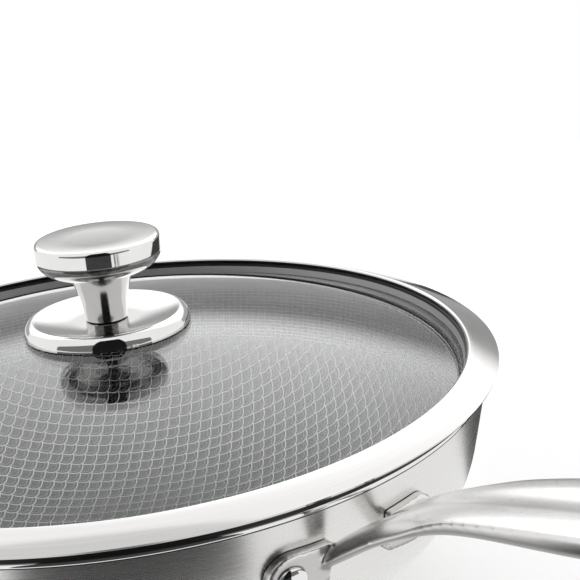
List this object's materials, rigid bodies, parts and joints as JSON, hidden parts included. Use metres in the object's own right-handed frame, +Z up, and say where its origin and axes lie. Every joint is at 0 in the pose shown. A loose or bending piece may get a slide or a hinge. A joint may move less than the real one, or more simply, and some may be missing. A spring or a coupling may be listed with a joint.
{
  "type": "wok with lid",
  "caption": "Stainless steel wok with a long forked handle, and a domed glass lid with a polished steel rim and knob.",
  "frame": {"origin": "centre of the wok's flat base, on the surface that it stands on", "axes": "+Z up through the knob, +X from the bowl's axis along the handle, +Y across the handle"},
  "size_m": [0.4927, 0.3, 0.1426],
  "materials": {
    "brushed_steel": "fine satin brushing, round the bowl and along the handle",
    "polished_steel": "mirror-polished stainless steel",
    "etched_steel": "dark grey satin with raised, lighter lines in a fish-scale relief",
    "aluminium_core": "plain sheet, closed in between the two steel sheets",
    "tempered_glass": "clear tempered glass, polished",
    "silicone": "matt black silicone"
  },
  "bodies": {
    "wok": {"outer_skin": "brushed_steel", "core_layer": "aluminium_core", "inner_liner": "etched_steel", "handle": "brushed_steel", "rivet_left": "polished_steel", "rivet_right": "polished_steel"},
    "lid": {"lid_glass": "tempered_glass", "lid_rim_band": "polished_steel", "knob": "polished_steel", "knob_plate": "polished_steel", "plate_gasket": "silicone", "glass_bush": "silicone", "screw_washer": "polished_steel", "knob_screw": "polished_steel"}
  },
  "joints": [
    {"name": "lid_lift", "type": "slide", "parent": "wok", "child": "lid", "axis": [0, 0, 1], "range_m": [0, 0.12]}
  ]
}
